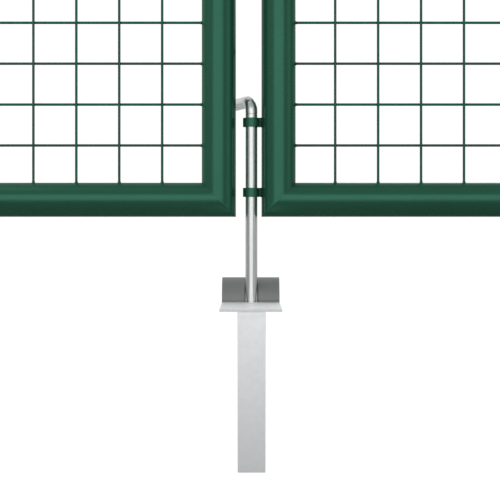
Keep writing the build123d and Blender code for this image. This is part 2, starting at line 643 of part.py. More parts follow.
def deadbolt():
    """The square deadbolt; its tail runs over the cylinder's cam."""
    head_back = DEADBOLT_TIP - DEADBOLT_HEAD
    head = bolt_window(DEADBOLT_HEIGHT, DEADBOLT_Z, 0, (head_back, DEADBOLT_TIP))
    half_width = DEADBOLT_WIDTH / 2
    half_tail = DEADBOLT_TAIL_HEIGHT / 2
    tail = block((head_back - DEADBOLT_TAIL_LENGTH, head_back), (-half_width, half_width),
                 (DEADBOLT_Z - half_tail, DEADBOLT_Z + half_tail))
    return head + tail


def lock_cylinder():
    """The cylinder's body, cut through in the middle for the cam."""
    y = (-CYLINDER_HALF_LENGTH, CYLINDER_HALF_LENGTH)
    body = euro_profile(y, 0)
    body -= rod_y(PLUG_DIAMETER + 2 * RUNNING_CLEARANCE, SPINDLE_X, y, CYLINDER_Z)
    half_cam = CAM_WIDTH / 2 + TOUCH_CLEARANCE
    return body - rod_y(2 * (CAM_RADIUS + TOUCH_CLEARANCE), SPINDLE_X, (-half_cam, half_cam), CYLINDER_Z)


def cylinder_plug():
    """The turning plug with its keyway and the cam that throws the deadbolt."""
    y = (-CYLINDER_HALF_LENGTH, CYLINDER_HALF_LENGTH)
    half_cam = CAM_WIDTH / 2
    plug = rod_y(PLUG_DIAMETER, SPINDLE_X, y, CYLINDER_Z)
    plug += rod_y(CYLINDER_DIAMETER, SPINDLE_X, (-half_cam, half_cam), CYLINDER_Z)
    lobe = block((SPINDLE_X - half_cam / 2, SPINDLE_X + half_cam / 2), (-half_cam, half_cam),
                 (CYLINDER_Z - CAM_RADIUS, CYLINDER_Z))
    plug += lobe & rod_y(2 * CAM_RADIUS, SPINDLE_X, (-half_cam, half_cam), CYLINDER_Z)
    x = (SPINDLE_X - KEYWAY_WIDTH / 2, SPINDLE_X + KEYWAY_WIDTH / 2)
    z = (CYLINDER_Z - KEYWAY_HEIGHT / 2, CYLINDER_Z + KEYWAY_HEIGHT / 2)
    for way in (-1, 1):
        plug -= block(x, sorted((way * CYLINDER_HALF_LENGTH, way * (CYLINDER_HALF_LENGTH - KEYWAY_DEPTH))), z)
    return plug


def strike_keep():
    """The box welded to the right stile that the latch and the deadbolt enter."""
    face = MEETING_FACE - STRIKE_REACH
    low = DEADBOLT_Z - DEADBOLT_HEIGHT / 2 - STRIKE_END
    high = LATCH_Z + LATCH_HEIGHT / 2 + STRIKE_END
    wall = STRIKE_WALL
    keep = block((face, MEETING_AXIS), (-TUBE_RADIUS, TUBE_RADIUS), (low, high))
    hollow = TUBE_RADIUS - wall
    keep -= block((face + wall, MEETING_AXIS), (-hollow, hollow), (low + wall, high - wall))
    keep -= rod_z(TUBE_DIAMETER, MEETING_AXIS, 0, (low, high))
    keep -= bolt_window(LATCH_HEIGHT, LATCH_Z, STRIKE_CLEARANCE, (face, face + wall))
    return keep - bolt_window(DEADBOLT_HEIGHT, DEADBOLT_Z, STRIKE_CLEARANCE, (face, face + wall))


# ---- the whole gate -----------------------------------------------------------------

os.makedirs("parts", exist_ok=True)

for name, side in SIDES.items():
    tubes = leaf_frame(side)
    if name == "left":
        cut = block((-HINGE_FACE / 2, 0), (-TUBE_DIAMETER, TUBE_DIAMETER), (LOCK_BOX_BOTTOM, LOCK_BOX_TOP))
        tubes["meeting_stile"] -= cut
    for tube_name, tube in tubes.items():
        save(f"{name}_{tube_name}", tube)
    save(f"{name}_mesh_uprights", mesh_uprights(side))
    save(f"{name}_mesh_cross_wires", mesh_cross_wires(side))
    save(f"{name}_hinge_eyes", hinge_eyes(side))
    save(f"{name}_post", post(side))

lower_hooks = [(side, LOWER_HOOK, 1) for side in SIDES.values()]
upper_hooks = [(side, UPPER_HOOK, -1) for side in SIDES.values()]
hooks = lower_hooks + upper_hooks
save("post_caps", group(post_cap(side) for side in SIDES.values()))
save("lower_hook_bolts", group(hook_bolt(*hook) for hook in lower_hooks))
save("upper_hook_bolts", group(hook_bolt(*hook) for hook in upper_hooks))
save("thrust_washers", group(thrust_washer(*hook) for hook in hooks))
save("hook_saddles", group(saddle(side, height, way) for side, height, _ in hooks for way in (-1, 1)))
save("hook_nuts", group(hook_nut(side, height, way) for side, height, _ in hooks for way in (-1, 1)))

save("lower_bolt_guide", bolt_guide(LEAF_BOTTOM + LOWER_GUIDE))
save("upper_bolt_guide", bolt_guide(LEAF_BOTTOM + UPPER_GUIDE))
save("handle_rest", handle_rest())
save("drop_bolt_rod", drop_rod())
save("drop_bolt_handle", drop_handle())

save("ground_plate", ground_plate())
save("keeper", keeper())
save("front_stake", stake(-PLATE_FRONT))
save("rear_stake", stake(PLATE_BACK - STAKE_THICKNESS))

save("lock_box", lock_box())
save("forend", forend())
save("forend_screws", forend_screws())
save("front_escutcheon", escutcheon(-1))
save("back_escutcheon", escutcheon(1))
save("front_escutcheon_screws", escutcheon_screws(-1))
save("back_escutcheon_screws", escutcheon_screws(1))
save("front_lever", lever(-1))
save("back_lever", lever(1))
save("spindle", spindle())
save("follower", follower())
save("latch_bolt", latch_bolt())
save("latch_spring", latch_spring())
save("deadbolt", deadbolt())
save("lock_cylinder", lock_cylinder())
save("cylinder_plug", cylinder_plug())
save("strike_keep", strike_keep())
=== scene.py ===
import json
from math import cos, pi, radians, sin

import bmesh
import bpy
import numpy as np
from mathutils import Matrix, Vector

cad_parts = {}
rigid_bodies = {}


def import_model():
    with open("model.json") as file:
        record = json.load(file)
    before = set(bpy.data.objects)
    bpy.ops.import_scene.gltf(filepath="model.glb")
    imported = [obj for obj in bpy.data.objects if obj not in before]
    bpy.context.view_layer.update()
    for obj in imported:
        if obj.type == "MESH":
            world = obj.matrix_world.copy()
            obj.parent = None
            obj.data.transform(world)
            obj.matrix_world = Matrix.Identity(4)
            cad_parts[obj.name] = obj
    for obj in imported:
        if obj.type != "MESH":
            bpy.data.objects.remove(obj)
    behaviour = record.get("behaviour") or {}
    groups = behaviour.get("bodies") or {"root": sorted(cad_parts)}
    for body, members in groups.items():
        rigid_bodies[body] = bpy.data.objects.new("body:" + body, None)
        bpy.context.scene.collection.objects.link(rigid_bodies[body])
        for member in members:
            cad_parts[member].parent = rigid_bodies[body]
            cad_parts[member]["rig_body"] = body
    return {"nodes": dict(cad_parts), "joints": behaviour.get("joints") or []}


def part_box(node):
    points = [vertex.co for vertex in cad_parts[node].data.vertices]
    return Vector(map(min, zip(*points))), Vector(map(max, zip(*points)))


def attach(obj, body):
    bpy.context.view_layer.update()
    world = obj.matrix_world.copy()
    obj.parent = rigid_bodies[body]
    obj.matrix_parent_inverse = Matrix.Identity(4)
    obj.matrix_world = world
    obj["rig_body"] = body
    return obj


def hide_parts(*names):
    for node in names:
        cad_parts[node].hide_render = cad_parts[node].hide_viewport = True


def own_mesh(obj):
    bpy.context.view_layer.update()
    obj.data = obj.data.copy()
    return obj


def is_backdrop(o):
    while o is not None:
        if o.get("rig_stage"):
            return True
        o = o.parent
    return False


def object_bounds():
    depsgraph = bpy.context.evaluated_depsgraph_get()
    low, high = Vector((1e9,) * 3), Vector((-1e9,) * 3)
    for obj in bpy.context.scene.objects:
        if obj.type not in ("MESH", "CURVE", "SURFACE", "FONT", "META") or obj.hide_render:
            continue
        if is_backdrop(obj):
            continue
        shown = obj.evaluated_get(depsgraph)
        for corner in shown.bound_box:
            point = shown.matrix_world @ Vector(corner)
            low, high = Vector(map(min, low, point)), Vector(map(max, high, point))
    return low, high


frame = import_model()
cad_low, cad_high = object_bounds()

# Double-leaf livestock gate in green powder-coated tube and welded mesh, with a zinc-plated
# drop bolt between the leaves and a galvanised ground stop. Metres, in the CAD model's frame:
# X along the gate, Y through it, Z up, with the ground line at z = 0.

# ---- studio: camera ---------------------------------------------------------------------
# A long lens, level and just under the bottom rails, looking straight at the drop bolt.

camera_data = bpy.data.cameras.new("camera")
camera_data.lens = 100.0
camera_data.shift_y = -0.0428
camera_data.clip_end = 200.0
camera = bpy.data.objects.new("camera", camera_data)
camera.location = (0.00154, -1.629, 0.0892)
camera.rotation_euler = (pi / 2, 0, 0)
bpy.context.scene.collection.objects.link(camera)
bpy.context.scene.camera = camera
bpy.context.scene.view_settings.view_transform = "Standard"

# ---- studio: room and light -------------------------------------------------------------
# A pale room, greyer in front of the gate than behind it, so that round metal keeps a dark
# side. A wide soft box in front draws the light band along every tube, a dim one lifts the
# right, one high on the left lights what faces up, and one lights the back of the gate.


def add(tree, kind, inputs=(), **settings):
    """Adds one node. Inputs are (name or number, value or output socket) pairs."""
    node = tree.nodes.new(kind)
    for name, value in settings.items():
        setattr(node, name, value)
    for name, value in dict(inputs).items():
        if isinstance(value, bpy.types.NodeSocket):
            tree.links.new(value, node.inputs[name])
        else:
            node.inputs[name].default_value = value
    return node


def linear(colour):
    """An sRGB hex colour such as 2E6B53 as linear red, green, blue and alpha."""
    parts = [int(colour[i : i + 2], 16) / 255 for i in (0, 2, 4)]
    return [c / 12.92 if c <= 0.04045 else ((c + 0.055) / 1.055) ** 2.4 for c in parts] + [1.0]


def ramp(tree, value, low, high, from_low=0.0, from_high=1.0):
    """The output of a Map Range that takes a value to between low and high."""
    limits = {"From Min": from_low, "From Max": from_high, "To Min": low, "To Max": high}
    return add(tree, "ShaderNodeMapRange", {"Value": value, **limits}).outputs[0]


def times(tree, first, second):
    """The output of a node that multiplies two values."""
    return add(tree, "ShaderNodeMath", {0: first, 1: second}, operation="MULTIPLY").outputs[0]


world = bpy.data.worlds.new("white_room")
bpy.context.scene.world = world
world.use_nodes = True
room = world.node_tree
room.nodes.clear()
heading = add(room, "ShaderNodeTexCoord").outputs["Generated"]
axes = add(room, "ShaderNodeSeparateXYZ", {"Vector": heading}).outputs
front_to_back = ramp(room, axes["Y"], 0.42, 0.75, from_low=-0.5, from_high=0.9)
left_to_right = ramp(room, axes["X"], 1.08, 0.92, from_low=-1.0)
level_to_top = ramp(room, axes["Z"], 1.0, 0.95)
brightness = times(room, times(room, front_to_back, left_to_right), level_to_top)
walls = add(room, "ShaderNodeBackground", {"Color": (1, 1, 1, 1), "Strength": brightness})
backdrop = add(room, "ShaderNodeBackground", {"Color": (1, 1, 1, 1), "Strength": 1.02})
seen = add(room, "ShaderNodeLightPath").outputs["Is Camera Ray"]
shown = add(room, "ShaderNodeMixShader", {0: seen, 1: walls.outputs[0], 2: backdrop.outputs[0]})
add(room, "ShaderNodeOutputWorld", {"Surface": shown.outputs[0]})


def soft_box(name, place, aim, width, height, radiance):
    """A rectangular area light of an even radiance, turned to face a point."""
    light = bpy.data.lights.new(name, "AREA")
    light.shape = "RECTANGLE"
    light.size = width
    light.size_y = height
    light.energy = radiance * pi * width * height
    lamp = bpy.data.objects.new(name, light)
    lamp.location = place
    lamp.rotation_euler = (Vector(aim) - Vector(place)).to_track_quat("-Z", "Y").to_euler()
    lamp.visible_camera = False
    bpy.context.scene.collection.objects.link(lamp)


soft_box("front_soft_box", (-0.19, -3.0, 0.695), (-0.19, 0.0, 0.695), 3.98, 2.19, 0.97)
soft_box("right_soft_box", (3.2, -1.2, 0.8), (0.0, 0.0, 0.4), 1.6, 2.4, 0.36)
soft_box("top_soft_box", (-2.0, 0.0, 2.4), (0.0, 0.0, 0.0), 2.2, 2.2, 3.2)
soft_box("back_soft_box", (1.6, 4.5, 2.2), (0.0, 0.0, 0.6), 2.6, 2.2, 1.2)

# ---- studio: floor ----------------------------------------------------------------------
# A plain pale floor at the foot of the posts. The camera sees it nearly as white as the
# backdrop. The gate sees a matt grey that turns pale behind it, so undersides stay darker.

FLOOR_RADIUS = 60.0
FLOOR_SIDES = 48
FLOOR_RINGS = [FLOOR_RADIUS / 30, FLOOR_RADIUS / 5, FLOOR_RADIUS]
PALE_FROM = 0.5                 # the floor turns pale between these distances behind the gate
PALE_BY = 2.5


def quads(rows, columns, rows_close=False, columns_close=False):
    """Faces of a grid of points numbered along its columns, which may close on themselves."""
    i = np.arange(rows if rows_close else rows - 1)[:, None]
    j = np.arange(columns if columns_close else columns - 1)[None, :]
    down = (i + 1) % rows
    along = (j + 1) % columns
    corners = (i * columns + j, down * columns + j, down * columns + along, i * columns + along)
    return np.stack([c + 0 * i + 0 * j for c in corners], axis=-1).reshape(-1, 4)


def new_object(name, points, faces, material):
    """A smooth-shaded mesh object from points and faces, with one material."""
    mesh = bpy.data.meshes.new(name)
    corners = np.asarray(points).reshape(-1, 3).tolist()
    mesh.from_pydata(corners, [], [list(face) for face in faces])
    mesh.shade_smooth()
    mesh.materials.append(material)
    made = bpy.data.objects.new(name, mesh)
    bpy.context.scene.collection.objects.link(made)
    return made


def new_material(name):
    """An empty node material and its tree."""
    material = bpy.data.materials.new(name)
    material.use_nodes = True
    material.node_tree.nodes.clear()
    return material, material.node_tree


matt_floor, tree = new_material("matt_pale_floor")
seen = add(tree, "ShaderNodeLightPath").outputs["Is Camera Ray"]
place = add(tree, "ShaderNodeTexCoord").outputs["Object"]
depth = add(tree, "ShaderNodeSeparateXYZ", {"Vector": place}).outputs["Y"]
behind = ramp(tree, depth, 0.0, 1.0, from_low=PALE_FROM, from_high=PALE_BY)
paler = add(tree, "ShaderNodeMath", {0: seen, 1: behind}, operation="MAXIMUM").outputs[0]
paint_tone = add(
    tree, "ShaderNodeMix", {0: paler, 6: linear("969694"), 7: linear("E6E6E4")}, data_type="RGBA"
)
paint = add(tree, "ShaderNodeBsdfDiffuse", {"Color": paint_tone.outputs[2]})
glow = add(tree, "ShaderNodeEmission", {"Color": (1, 1, 1, 1), "Strength": 1.7})
share = times(tree, seen, 0.5)
surface = add(tree, "ShaderNodeMixShader", {0: share, 1: paint.outputs[0], 2: glow.outputs[0]})
add(tree, "ShaderNodeOutputMaterial", {"Surface": surface.outputs[0]})

turn, reach = np.meshgrid(np.linspace(0, 2 * pi, FLOOR_SIDES, endpoint=False), FLOOR_RINGS)
floor_points = np.stack([reach * np.cos(turn), reach * np.sin(turn), 0 * turn + cad_low.z], axis=-1)
floor_faces = [tuple(f) for f in quads(len(FLOOR_RINGS), FLOOR_SIDES, columns_close=True)]
floor_faces.append(tuple(range(FLOOR_SIDES)))
new_object("floor", floor_points, floor_faces, matt_floor)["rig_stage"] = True

# ---- leaves: tube frames ----------------------------------------------------------------
# Each leaf is four mitred lengths of 40 mm steel tube, welded, dressed almost flush and
# powder coated in moss green.

MITRE_BEAD_RADIUS = 0.0026
MITRE_BEAD_SINK = 0.0024        # depth of the bead's centre line under the tube's surface
MITRE_STEPS = 72
BEAD_SIDES = 10
OFF_CENTRE = 1e-6               # keeps a straight bead's outward direction from being zero
COAT_EDGE_TINT = "A0A0A0"       # holds down the coat's shine where it is seen edge on
FRAME_TUBES = ("bottom_rail", "top_rail", "meeting_stile", "hinge_stile")


def plain_surface(
    name, light, dark, metallic, roughness, grain_mm, relief_mm, drift_mm, edge_tint="FFFFFF"
):
    """A finish with no direction. Its tone and gloss drift between two limits over drift_mm,
    and a grain of the given size and height is bump."""
    material, tree = new_material(name)
    place = add(tree, "ShaderNodeTexCoord").outputs["Object"]
    drift = add(
        tree, "ShaderNodeTexNoise", {"Vector": place, "Scale": 1000 / drift_mm, "Detail": 3.0}
    ).outputs["Fac"]
    grain = add(
        tree, "ShaderNodeTexNoise", {"Vector": place, "Scale": 1000 / grain_mm, "Detail": 1.0}
    ).outputs["Fac"]
    tone = add(tree, "ShaderNodeMix", {0: drift, 6: linear(light), 7: linear(dark)}, data_type="RGBA")
    relief = add(
        tree, "ShaderNodeBump", {"Height": grain, "Strength": 1.0, "Distance": relief_mm / 1000}
    )
    shader = {
        "Base Color": tone.outputs[2],
        "Metallic": metallic,
        "Roughness": ramp(tree, drift, roughness - 0.03, roughness + 0.03),
        "Normal": relief.outputs[0],
        "Specular Tint": linear(edge_tint),
    }
    surface = add(tree, "ShaderNodeBsdfPrincipled", shader)
    add(tree, "ShaderNodeOutputMaterial", {"Surface": surface.outputs[0]})
    return material


# Baked powder on steel: satin, with a fine orange peel and light bands that keep the paint's
# colour, which the part-metallic share gives. Real peel has 1 to 2 mm cells; they are drawn
# at 3 mm so that they show.
moss_green = plain_surface(
    "moss_green_powder_coat", "346D58", "306752", 0.55, 0.28, 3.0, 0.014, 70, COAT_EDGE_TINT
)


def dress(material, *nodes):
    """Gives CAD nodes their finish."""
    for node in nodes:
        for place in frame["nodes"][node].material_slots:
            place.material = material


def middle(node):
    """The centre of a node's box, and half its size."""
    low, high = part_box(node)
    return (low + high) / 2, (high - low) / 2


def travelled(path):
    """Distance along a path of points, from its first."""
    return np.concatenate([[0], np.cumsum(np.linalg.norm(np.diff(path, axis=0), axis=1))])


def bead(path, radius, closed, ripple, pitch=0.0025):
    """Points of a weld bead: a circle of the given radius carried along a path, its radius
    swelling and shrinking by the ripple once every pitch, like laid-down drops."""
    if closed:
        ahead = np.roll(path, -1, axis=0) - np.roll(path, 1, axis=0)
    else:
        ahead = np.gradient(path, axis=0)
    ahead /= np.linalg.norm(ahead, axis=1, keepdims=True)
    out = path - path.mean(axis=0) + OFF_CENTRE
    out -= (out * ahead).sum(axis=1, keepdims=True) * ahead
    out /= np.linalg.norm(out, axis=1, keepdims=True)
    side = np.cross(ahead, out)
    size = radius + ripple * np.cos(2 * pi * travelled(path) / pitch)
    turn = np.linspace(0, 2 * pi, BEAD_SIDES, endpoint=False)[None, :, None]
    ring = np.cos(turn) * out[:, None, :] + np.sin(turn) * side[:, None, :]
    return path[:, None, :] + size[:, None, None] * ring


def beads(name, body, material, paths, radius, closed=True, ripple=0.0):
    """One piece of several weld beads. Open beads are closed with flat end faces."""
    points = []
    faces = []
    first = 0
    for path in paths:
        rings = bead(path, radius, closed, ripple)
        last = first + (len(rings) - 1) * BEAD_SIDES
        faces += [tuple(f) for f in first + quads(len(rings), BEAD_SIDES, closed, True)[:, ::-1]]
        if not closed:
            faces.append(tuple(range(first, first + BEAD_SIDES)))
            faces.append(tuple(range(last + BEAD_SIDES - 1, last - 1, -1)))
        points.append(rings.reshape(-1, 3))
        first = last + BEAD_SIDES
    piece = new_object(name, np.concatenate(points), faces, material)
    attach(piece, body)
    return piece


def mitre_path(side, rail, stile, lean):
    """The edge where two tubes of one radius meet at a right angle: an ellipse in the plane
    at 45 degrees, x moving with z when lean is +1 and against it when lean is -1."""
    centre, half = middle(f"{side}_{rail}")
    radius = half.y - MITRE_BEAD_SINK
    turn = np.linspace(0, 2 * pi, MITRE_STEPS, endpoint=False)
    across = radius * np.cos(turn)
    x = middle(f"{side}_{stile}")[0].x + lean * across
    return np.stack([x, radius * np.sin(turn), centre.z + across], axis=-1)


FRAME_CORNERS = [
    ("bottom_rail", "meeting_stile", 1),
    ("bottom_rail", "hinge_stile", -1),
    ("top_rail", "meeting_stile", -1),
    ("top_rail", "hinge_stile", 1),
]
SIDES = {"left": -1, "right": 1}

for side, way in SIDES.items():
    dress(moss_green, *(f"{side}_{tube}" for tube in FRAME_TUBES))
    seams = [mitre_path(side, rail, stile, way * lean) for rail, stile, lean in FRAME_CORNERS]
    beads(
        f"{side}_mitre_seams", f"{side}_leaf", moss_green, seams, MITRE_BEAD_RADIUS
    )

# ---- leaves: welded mesh ----------------------------------------------------------------
# Drawn 3 mm wire, spot welded at every crossing, uprights in front, then coated with the
# frame. Coat gathers at the crossings and where each wire runs into its tube.

UPRIGHT_PITCH = 0.0503
CROSS_PITCH = 0.048
SPOT_REACH = 0.0020             # from the crossing's centre
SPOT_DEPTH = 0.0013
SPOT_SIDES = 8
COLLAR_SIDES = 10
COLLAR_ROOT = 0.0008            # how far a collar starts inside the tube
COLLAR_HEIGHT = 0.0022
COLLAR_FLARE = 0.0011

# The same coat on wire, a little darker and duller. Its peel is drawn at 2 mm.
coated_wire = plain_surface(
    "moss_green_coated_wire", "2F6652", "2A5E4B", 0.5, 0.33, 2.0, 0.005, 70, COAT_EDGE_TINT
)
dress(coated_wire, *(f"{side}_mesh_{way}" for side in SIDES for way in ("uprights", "cross_wires")))


def even_places(low, high, pitch):
    """Evenly spaced places from low to high, about a pitch apart."""
    return np.linspace(low, high, round((high - low) / pitch) + 1)


def many(shape, places):
    """Copies of one small shape at many places, as one set of points and faces."""
    points, faces = shape
    copies = (places[:, None, :] + points.reshape(1, -1, 3)).reshape(-1, 3)
    shifts = points.size // 3 * np.arange(len(places))
    return copies, [tuple(i + shift for i in face) for shift in shifts for face in faces]


def spot():
    """A flattened ball of coat: three rings of latitude between two poles."""
    tilt = radians(45) * np.array([-1, 0, 1])[:, None]
    turn = np.linspace(0, 2 * pi, SPOT_SIDES, endpoint=False)[None, :]
    x = SPOT_REACH * np.cos(tilt) * np.cos(turn)
    y = SPOT_DEPTH * np.sin(tilt) + 0 * turn
    z = SPOT_REACH * np.cos(tilt) * np.sin(turn)
    rings = np.stack([x, y, z], axis=-1).reshape(-1, 3)
    points = np.concatenate([rings, [[0, -SPOT_DEPTH, 0], [0, SPOT_DEPTH, 0]]])
    front, back = len(rings), len(rings) + 1
    last = 2 * SPOT_SIDES
    faces = [tuple(f) for f in quads(3, SPOT_SIDES, columns_close=True)]
    neighbours = [(i, (i + 1) % SPOT_SIDES) for i in range(SPOT_SIDES)]
    faces += [(front, i, j) for i, j in neighbours]
    faces += [(back, last + j, last + i) for i, j in neighbours]
    return points, faces


def collar(wire_radius, axis, way):
    """A flared ring of coat round a wire's end: three circles, each narrower than the one
    before, from inside the tube outwards along +way of the axis, X or Z."""
    rise = np.array([-COLLAR_ROOT, 0.3 * COLLAR_HEIGHT, COLLAR_HEIGHT])[:, None]
    size = wire_radius + COLLAR_FLARE * np.array([1.0, 0.35, 0.02])[:, None]
    turn = np.linspace(0, 2 * pi, COLLAR_SIDES, endpoint=False)[None, :]
    across = size * np.cos(turn)
    through = size * np.sin(turn)
    along = way * rise + 0 * turn
    points = np.stack((along, through, across) if axis == "X" else (across, through, along), axis=-1)
    faces = quads(3, COLLAR_SIDES, columns_close=True)
    outwards = (way > 0) == (axis == "X")
    return points, [tuple(f) for f in (faces if outwards else faces[:, ::-1])]


def wire_ends(side, uprights, levels, upright_y, level_y, wire_radius):
    """Every collar of one leaf: points and faces for each end of each set of wires."""
    out = SIDES[side]
    lock_low, lock_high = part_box("lock_box")
    stile, stile_half = middle(f"{side}_meeting_stile")
    hinge, hinge_half = middle(f"{side}_hinge_stile")
    beside_lock = (levels > lock_low.z) & (levels < lock_high.z) & (side == "left")
    near = np.where(beside_lock, lock_low.x, stile.x + out * stile_half.x)
    far = 0 * levels + hinge.x - out * hinge_half.x
    rail_top = 0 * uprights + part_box(f"{side}_bottom_rail")[1].z
    rail_foot = 0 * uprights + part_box(f"{side}_top_rail")[0].z
    made = []
    for heights, way in ((rail_top, 1), (rail_foot, -1)):
        places = np.stack([uprights, 0 * uprights + upright_y, heights], axis=-1)
        made.append(many(collar(wire_radius, "Z", way), places))
    for ends, way in ((near, out), (far, -out)):
        places = np.stack([ends, 0 * levels + level_y, levels], axis=-1)
        made.append(many(collar(wire_radius, "X", way), places))
    return made


for side in SIDES:
    wire_radius = middle(f"{side}_mesh_uprights")[1].y
    upright_y = middle(f"{side}_mesh_uprights")[0].y
    level_y = middle(f"{side}_mesh_cross_wires")[0].y
    low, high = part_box(f"{side}_mesh_uprights")
    uprights = even_places(low.x + wire_radius, high.x - wire_radius, UPRIGHT_PITCH)
    low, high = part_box(f"{side}_mesh_cross_wires")
    levels = even_places(low.z + wire_radius, high.z - wire_radius, CROSS_PITCH)
    grid_x, grid_z = np.meshgrid(uprights, levels)
    crossings = np.stack([grid_x, 0 * grid_x, grid_z], axis=-1).reshape(-1, 3)
    sets = {
        "spot_welds": [many(spot(), crossings)],
        "wire_ends": wire_ends(side, uprights, levels, upright_y, level_y, wire_radius),
    }
    for name, parts in sets.items():
        starts = np.cumsum([0] + [len(points) for points, _ in parts])
        faces = [tuple(i + start for i in f) for (_, fs), start in zip(parts, starts) for f in fs]
        points = np.concatenate([points for points, _ in parts])
        piece = new_object(f"{side}_mesh_{name}", points, faces, coated_wire)
        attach(piece, f"{side}_leaf")

# ---- posts and caps ---------------------------------------------------------------------
# Round 60 mm posts, coated with the leaves, with drilled holes for the hook bolts and for the
# anchor bar in the ground. Moulded caps of black polythene keep the rain out.

EDGE = 0.0004                   # broken edge of sawn, punched and moulded pieces
SHARP = radians(35)             # a steeper turn than this between two faces is an edge
FLAT = radians(0.3)             # faces nearer to level with each other than this are joined
SAME_POINT = 1e-6


def softened(node, edge, material):
    """A piece that stands for a CAD node: its mesh with doubles merged and flat faces joined,
    and a Bevel that breaks every edge sharper than 35 degrees."""
    cad = frame["nodes"][node]
    mesh = cad.data.copy()
    work = bmesh.new()
    work.from_mesh(mesh)
    bmesh.ops.remove_doubles(work, verts=work.verts, dist=SAME_POINT)
    bmesh.ops.dissolve_limit(work, angle_limit=FLAT, verts=work.verts, edges=work.edges)
    work.to_mesh(mesh)
    work.free()
    if "custom_normal" in mesh.attributes:
        mesh.attributes.remove(mesh.attributes["custom_normal"])
    mesh.shade_smooth()
    mesh.set_sharp_from_angle(angle=SHARP)
    mesh.materials.clear()
    mesh.materials.append(material)
    piece = bpy.data.objects.new(f"{node}_dressed", mesh)
    bpy.context.scene.collection.objects.link(piece)
    rounding = piece.modifiers.new("broken_edges", "BEVEL")
    rounding.width = edge
    rounding.segments = 2
    rounding.limit_method = "ANGLE"
    rounding.angle_limit = SHARP
    rounding.harden_normals = True
    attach(piece, cad["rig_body"])
    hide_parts(node)


dress(moss_green, "left_post", "right_post")

# Injection-moulded polythene: matt black with a fine spark-eroded texture, which is drawn at
# 1.2 mm so that it shows.
black_polythene = plain_surface("moulded_black_polythene", "1B1C1E", "141517", 0.0, 0.48, 1.2, 0.02, 40)
softened("post_caps", EDGE, black_polythene)

# ---- hinges -----------------------------------------------------------------------------
# Eyes with tongues are welded to the hinge stiles and turn on bent hook bolts. Each hook is
# threaded 12 mm bar, zinc plated, clamped through the post between two curved saddles.

EYE_HEIGHT = 0.030
TONGUE_HALF = 0.005
FILLET_RADIUS = 0.0013
HOOK_RADIUS = 0.006
HOOK_BEND = 0.012
COLLAR_BAND = 0.004             # height of the forged collar, just past the bend
COLLAR_CHAMFER = 0.0006
THREAD_PITCH = 0.00175
THREAD_DEPTH = 0.0009
THREAD_PAST_NUT = 0.006
BAR_SIDES = 48
BAR_SHARP = radians(30)
BEND_STEPS = 24
STEPS_A_PITCH = 4               # points along the bar for each turn of thread
LOOP_STEPS = 64
LOOP_SQUARENESS = 0.45          # 1 is an oval, and 0 a square


def flat_loop(axis_x, radius, toward, half_width, low, high):
    """A closed path laid on an upright tube: a squared-off oval in Y and Z, where x is the
    axis plus, towards one side, the root of radius squared less y squared."""
    turn = np.linspace(0, 2 * pi, LOOP_STEPS, endpoint=False)
    round_loop = np.array([np.cos(turn), np.sin(turn)])
    squared = np.sign(round_loop) * np.abs(round_loop) ** LOOP_SQUARENESS
    y = half_width * squared[0]
    z = (low + high) / 2 + (high - low) / 2 * squared[1]
    return np.stack([axis_x + toward * np.sqrt(radius**2 - y**2), y, z], axis=-1)


def lined_surface(name, light, dark, dull, shiny, line_mm, length_mm, pattern="Object"):
    """A metal with fine lines along Z, or along the bar when the pattern is along_bar. The
    lines change the gloss between two roughness values, and are faint bump."""
    material, tree = new_material(name)
    if pattern == "Object":
        place = add(tree, "ShaderNodeTexCoord").outputs["Object"]
    else:
        place = add(tree, "ShaderNodeAttribute", attribute_name=pattern).outputs["Vector"]
    squeeze = (1000 / line_mm, 1000 / line_mm, 1000 / length_mm)
    drawn = add(tree, "ShaderNodeMapping", {"Vector": place, "Scale": squeeze}).outputs[0]
    lines = add(tree, "ShaderNodeTexNoise", {"Vector": drawn, "Scale": 1.0, "Detail": 2.0}).outputs["Fac"]
    cloud = add(tree, "ShaderNodeTexNoise", {"Vector": place, "Scale": 1000 / 25, "Detail": 2.0})
    tone = add(
        tree, "ShaderNodeMix", {0: cloud.outputs["Fac"], 6: linear(light), 7: linear(dark)}, data_type="RGBA"
    )
    relief = add(tree, "ShaderNodeBump", {"Height": lines, "Strength": 1.0, "Distance": 0.000004})
    shader = {
        "Base Color": tone.outputs[2],
        "Metallic": 1.0,
        "Roughness": ramp(tree, lines, shiny, dull),
        "Normal": relief.outputs[0],
    }
    surface = add(tree, "ShaderNodeBsdfPrincipled", shader)
    add(tree, "ShaderNodeOutputMaterial", {"Surface": surface.outputs[0]})
    return material


# Bright zinc plate: a cool white metal. The draw die leaves hair-fine lines along a bar; they
# are drawn 1 mm wide and 80 mm long so that they show. Pressed pieces have them 6 mm long.
drawn_zinc = lined_surface("bright_zinc_on_drawn_bar", "E6E9E8", "DEE1E0", 0.36, 0.27, 1.0, 80, "along_bar")
zinc = lined_surface("bright_zinc", "EDF0EF", "E2E6E5", 0.38, 0.28, 1.0, 6)

# Natural nylon: milky white and satin, a little uneven in tone.
nylon = plain_surface("white_nylon", "ECE9DF", "E2DED2", 0.0, 0.40, 2.0, 0.008, 15)


def straight(start, end, steps):
    """Evenly spaced points from start to end."""
    share = np.linspace(0, 1, steps)[:, None]
    return (1 - share) * np.asarray(start, float) + share * np.asarray(end, float)


